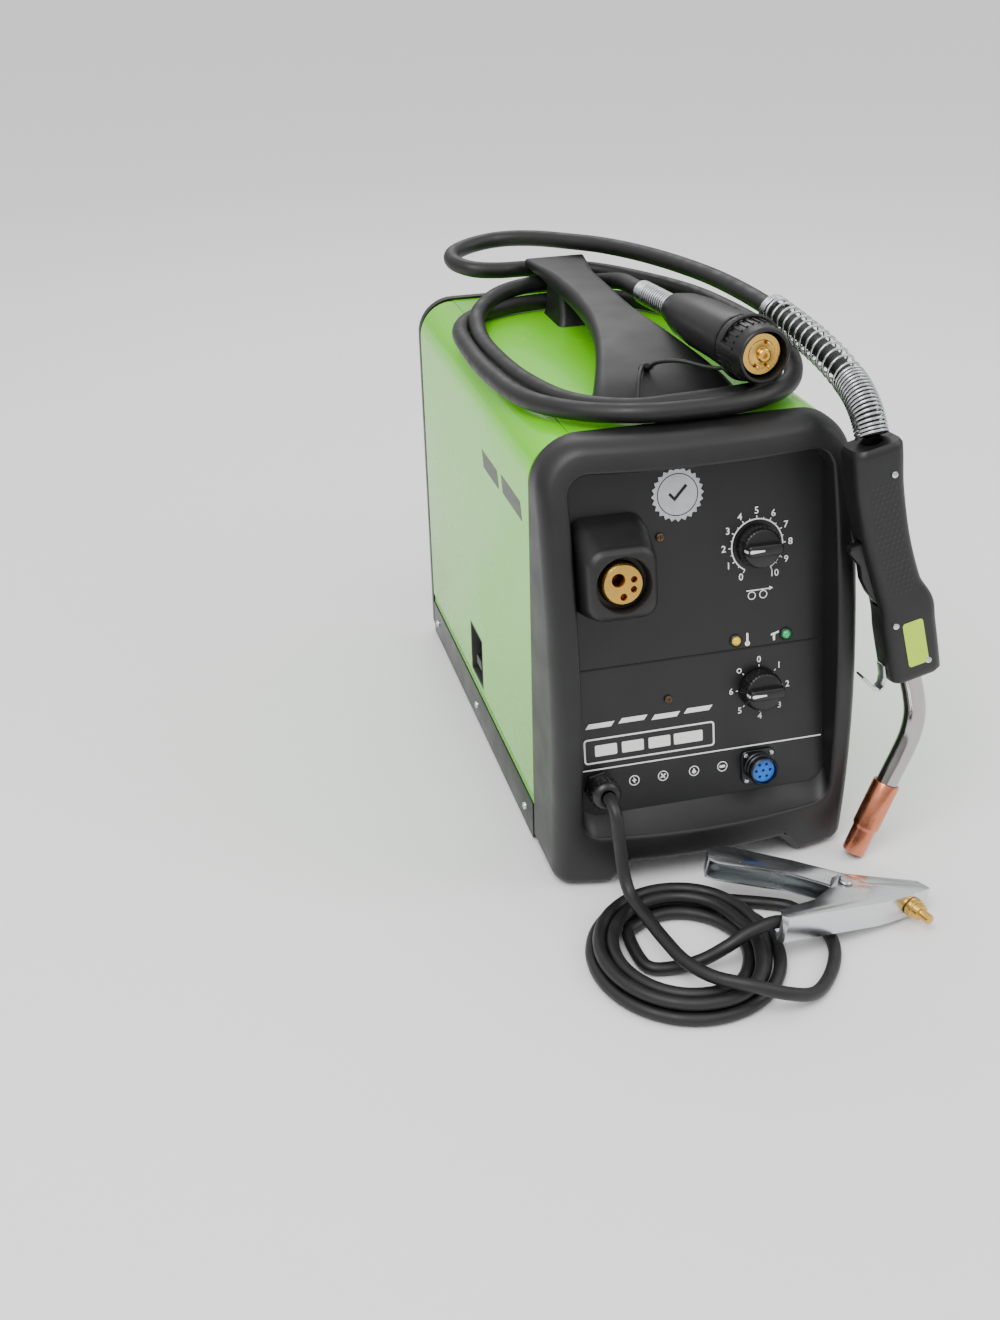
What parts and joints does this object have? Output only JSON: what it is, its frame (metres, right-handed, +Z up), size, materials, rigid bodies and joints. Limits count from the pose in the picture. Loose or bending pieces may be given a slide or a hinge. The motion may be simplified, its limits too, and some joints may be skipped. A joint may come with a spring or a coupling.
{
  "type": "mig welding machine",
  "caption": "Wire-feed arc welder: green folded case with black moulded ends, tilted control panel, carry handle with the torch lead wound on it, and a coiled work lead with its clamp.",
  "frame": {"origin": "bottom centre of the machine case, on the floor under its feet", "axes": "+X the right side seen from the front, -Y the front control panel, +Z up"},
  "size_m": [0.3153, 0.6935, 0.4282],
  "materials": {
    "black_abs": "fine moulded texture",
    "black_rubber": "smooth matt sheath",
    "black_sheet": "satin powder coat",
    "green_paint": "gloss lime green",
    "zinc_steel": "zinc plated",
    "brass": "turned",
    "copper": "copper or copper-coated",
    "chrome": "polished",
    "aluminium": "cast and extruded",
    "blue_plastic": "moulded",
    "laminated_iron": "varnished laminations",
    "board_green": "circuit board",
    "amber_lens": "clear coloured lens",
    "green_lens": "clear coloured lens"
  },
  "bodies": {
    "machine": {"front_bezel": "black_abs", "rear_panel": "black_abs", "carry_handle": "black_abs", "torch_socket_housing": "black_abs", "work_lead_gland": "black_abs", "selector_switch": "black_abs", "mains_gland": "black_abs", "torch_plug_body": "black_abs", "torch_grip": "black_abs", "work_cable": "black_rubber", "work_cable_coil": "black_rubber", "work_cable_tail": "black_rubber", "torch_cable": "black_rubber", "control_plate": "black_sheet", "base_pan": "black_sheet", "remote_socket_shell": "black_sheet", "top_cover": "green_paint", "door_hinge_pin": "zinc_steel", "potentiometer": "zinc_steel", "centre_partition": "zinc_steel", "spool_axle": "zinc_steel", "clamp_lower": "zinc_steel", "clamp_pin": "zinc_steel", "plug_spring": "zinc_steel", "torch_hook": "zinc_steel", "torch_spring": "zinc_steel", "torch_socket": "brass", "gas_inlet": "brass", "clamp_stud": "brass", "torch_plug_contact": "brass", "transformer_windings": "copper", "gas_nozzle": "copper", "swan_neck": "chrome", "drive_body": "aluminium", "rectifier_heatsink": "aluminium", "remote_socket_insert": "blue_plastic", "drive_motor": "laminated_iron", "transformer_core": "laminated_iron", "fan_motor": "laminated_iron", "control_board": "board_green", "thermal_lamp": "amber_lens", "power_lamp": "green_lens"},
    "side_door": {"side_door": "green_paint", "door_latch_cup": "black_abs"},
    "door_latch_slider": {"door_latch_slider": "black_abs"},
    "wire_feed_knob": {"wire_feed_knob": "black_abs"},
    "selector_knob": {"selector_knob": "black_abs"},
    "fan_blade": {"fan_blade": "black_abs"},
    "drive_roll": {"drive_roll": "zinc_steel"},
    "pressure_arm": {"pressure_arm": "aluminium"},
    "pressure_roll": {"pressure_roll": "zinc_steel"},
    "tension_knob": {"tension_knob": "black_abs"},
    "spool": {"spool_hub": "black_abs", "wire_spool": "black_abs", "wire_winding": "copper"},
    "clamp_upper": {"clamp_upper": "zinc_steel"},
    "torch_trigger": {"torch_trigger": "black_abs"},
    "torch_plug_nut": {"torch_plug_nut": "black_abs"}
  },
  "joints": [
    {"name": "door_hinge", "type": "hinge", "parent": "machine", "child": "side_door", "pos_m": [-0.121, 0.236, 0.18], "axis": [0, 0, -1], "range_deg": [0, 80]},
    {"name": "latch_slide", "type": "slide", "parent": "side_door", "child": "door_latch_slider", "axis": [0, 0, 1], "range_m": [-0.009, 0]},
    {"name": "wire_feed_turn", "type": "hinge", "parent": "machine", "child": "wire_feed_knob", "pos_m": [0.0486, -0.19546, 0.26335], "axis": [0, 0.984, -0.1779], "range_deg": [-60, 240]},
    {"name": "selector_turn", "type": "hinge", "parent": "machine", "child": "selector_knob", "pos_m": [0.0486, -0.21614, 0.149], "axis": [0, 0.984, -0.1779], "range_deg": [-270, 45]},
    {"name": "fan_spin", "type": "hinge", "parent": "machine", "child": "fan_blade", "pos_m": [0.05, 0.229, 0.2], "axis": [0, 1, 0], "continuous": true},
    {"name": "spool_spin", "type": "hinge", "parent": "machine", "child": "spool", "pos_m": [-0.079, 0.105, 0.15], "axis": [1, 0, 0], "continuous": true},
    {"name": "drive_roll_spin", "type": "hinge", "parent": "machine", "child": "drive_roll", "pos_m": [-0.072, -0.11, 0.2263], "axis": [1, 0, 0], "continuous": true},
    {"name": "pressure_arm_lift", "type": "hinge", "parent": "machine", "child": "pressure_arm", "pos_m": [-0.072, -0.066, 0.268], "axis": [-1, 0, 0], "range_deg": [0, 32]},
    {"name": "pressure_roll_spin", "type": "hinge", "parent": "pressure_arm", "child": "pressure_roll", "pos_m": [-0.072, -0.11, 0.2533], "axis": [1, 0, 0], "continuous": true},
    {"name": "tension_turn", "type": "hinge", "parent": "pressure_arm", "child": "tension_knob", "pos_m": [-0.072, -0.156, 0.268], "axis": [0, 0, 1], "range_deg": [-720, 720]},
    {"name": "clamp_squeeze", "type": "hinge", "parent": "machine", "child": "clamp_upper", "pos_m": [0.078, -0.328, 0.0225], "axis": [0.165, 0, 0.9863], "range_deg": [0, 18], "stiffness_Nm_per_rad": 4, "springref_deg": -17.19},
    {"name": "trigger_press", "type": "hinge", "parent": "machine", "child": "torch_trigger", "pos_m": [0.13106, -0.23741, 0.22637], "axis": [0, 0.9965, -0.0839], "range_deg": [0, 4], "stiffness_Nm_per_rad": 0.6, "springref_deg": -5.73},
    {"name": "plug_nut_turn", "type": "hinge", "parent": "machine", "child": "torch_plug_nut", "pos_m": [0.0583, -0.14408, 0.4016], "axis": [-0.085, 0.9962, -0.02], "continuous": true}
  ],
  "couplings": [
    {"joint": "drive_roll_spin", "follows": "spool_spin", "ratio": 5.7333},
    {"joint": "pressure_roll_spin", "follows": "spool_spin", "ratio": -7.8182}
  ]
}
